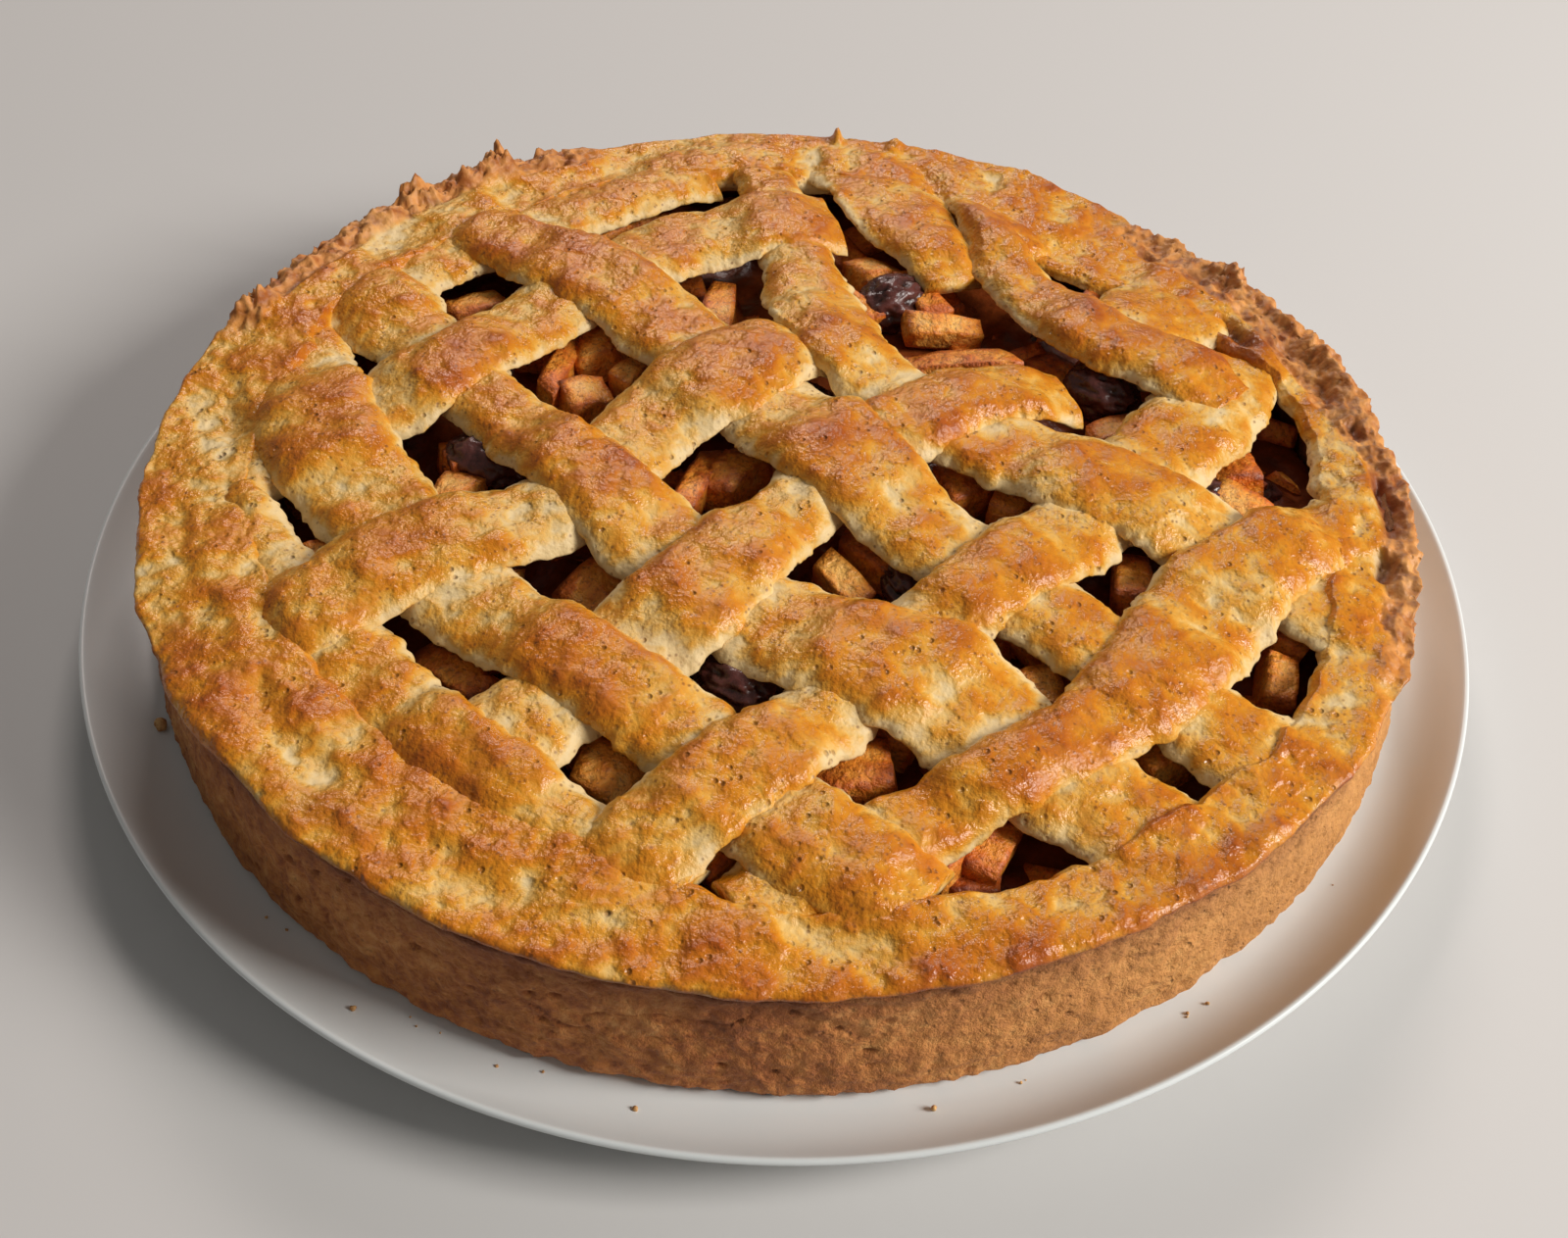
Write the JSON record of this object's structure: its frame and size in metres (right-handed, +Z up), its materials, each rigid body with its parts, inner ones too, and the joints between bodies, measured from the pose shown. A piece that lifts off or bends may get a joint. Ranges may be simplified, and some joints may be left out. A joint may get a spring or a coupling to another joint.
{
  "type": "dutch apple pie",
  "caption": "Round lattice-topped apple pie with a raised crust wall and open weave over spiced apple and raisins, unmoulded whole onto a shallow round serving dish.",
  "frame": {"origin": "centre of the dish's foot, on the surface it stands on", "axes": "+Z up; -Y towards the front of the picture; +X to its right"},
  "size_m": [0.274, 0.274, 0.0483],
  "materials": {
    "porcelain": "glazed white porcelain",
    "baked_wall": "dry baked shortcrust, crumbly",
    "apple_and_raisin": "moist cinnamon apple pieces and raisins",
    "glazed_dough": "egg-washed golden shortcrust"
  },
  "bodies": {
    "root": {"dish": "porcelain", "crust_case": "baked_wall", "filling": "apple_and_raisin", "strip_rising_1": "glazed_dough", "strip_rising_2": "glazed_dough", "strip_rising_3": "glazed_dough", "strip_rising_4": "glazed_dough", "strip_rising_5": "glazed_dough", "strip_rising_6": "glazed_dough", "strip_rising_7": "glazed_dough", "strip_rising_8": "glazed_dough", "strip_falling_1": "glazed_dough", "strip_falling_2": "glazed_dough", "strip_falling_3": "glazed_dough", "strip_falling_4": "glazed_dough", "strip_falling_5": "glazed_dough", "strip_falling_6": "glazed_dough", "strip_falling_7": "glazed_dough"}
  },
  "joints": []
}
